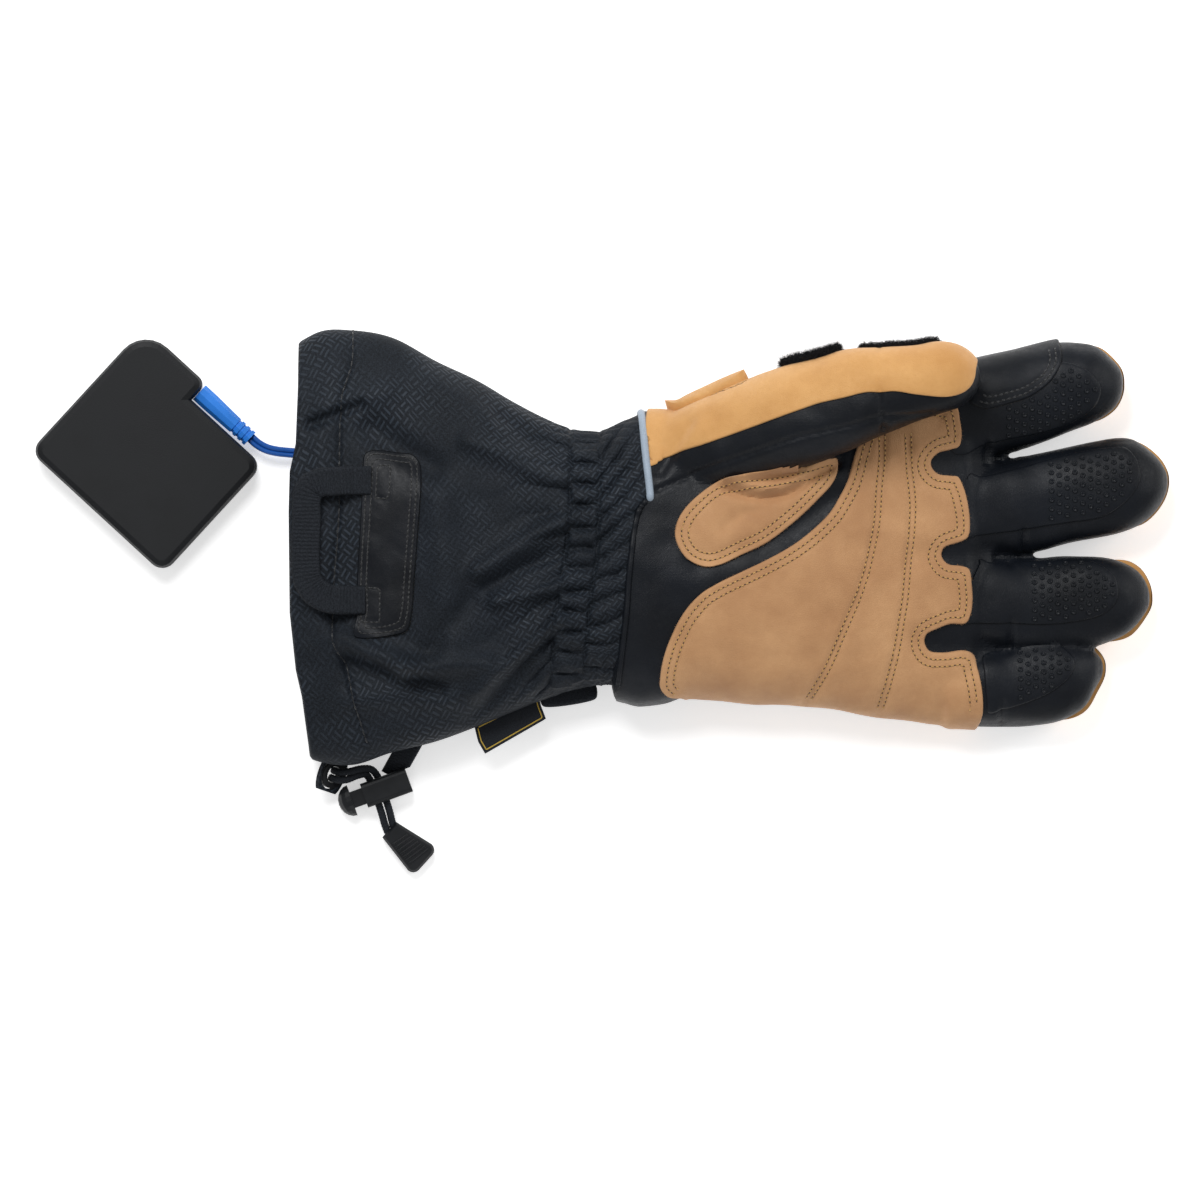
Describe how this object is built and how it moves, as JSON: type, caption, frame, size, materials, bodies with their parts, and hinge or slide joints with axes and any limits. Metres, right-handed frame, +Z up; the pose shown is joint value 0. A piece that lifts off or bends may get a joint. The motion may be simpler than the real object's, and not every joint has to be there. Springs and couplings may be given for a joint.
{
  "type": "heated glove",
  "caption": "Insulated left-hand gauntlet work glove with leather palm, elastic wrist, hem drawcord and a battery pack on a short lead, lying palm up.",
  "frame": {"origin": "on the flat of the glove's back that it rests on, under the middle of the palm", "axes": "+X towards the fingertips, +Y towards the thumb's side, +Z up out of the palm"},
  "size_m": [0.4046, 0.1943, 0.0596],
  "materials": {
    "softshell": "matte embossed softshell",
    "black_leather": "smooth black synthetic leather",
    "tan_leather": "smooth tan goatskin",
    "tan_back": "smooth light tan leather",
    "black_suede": "napped black suede",
    "reflective_piping": "grey reflective piping",
    "webbing": "ribbed black webbing",
    "woven_label": "black woven label",
    "black_plastic": "moulded black plastic",
    "battery_rubber": "soft-touch black rubber",
    "blue_plug": "moulded blue plastic",
    "blue_lead": "blue insulated lead"
  },
  "bodies": {
    "glove": {"gauntlet_cuff": "softshell", "hand_shell": "black_leather", "index_finger": "black_leather", "middle_finger": "black_leather", "ring_finger": "black_leather", "little_finger": "black_leather", "thumb": "black_leather", "palm_patch": "tan_leather", "thenar_patch": "tan_leather", "index_overlay": "black_suede", "piping": "reflective_piping", "thumb_back_panel": "tan_back", "thumb_side_pad": "tan_back", "terry_wipe": "black_suede", "suede_strip": "black_suede", "middle_tip_pad": "black_leather", "ring_tip_pad": "black_leather", "little_tip_pad": "black_leather", "ring_back_cap": "tan_back", "little_back_cap": "tan_back", "strap_patch": "black_suede", "pull_strap": "webbing", "side_label": "woven_label", "wrist_tab": "webbing", "hem_tab": "softshell", "grommet": "black_plastic", "drawcord_a": "webbing", "drawcord_b": "webbing", "lock_webbing": "webbing", "cord_lock_barrel": "black_plastic", "cord_end": "black_plastic", "battery_pack": "battery_rubber", "power_plug": "blue_plug", "power_lead": "blue_lead"},
    "plunger": {"cord_lock_plunger": "black_plastic"}
  },
  "joints": [
    {"name": "plunger_slide", "type": "slide", "parent": "glove", "child": "plunger", "axis": [0.9404, 0.3401, 0], "range_m": [0, 0.004], "stiffness_N_per_m": 300}
  ]
}
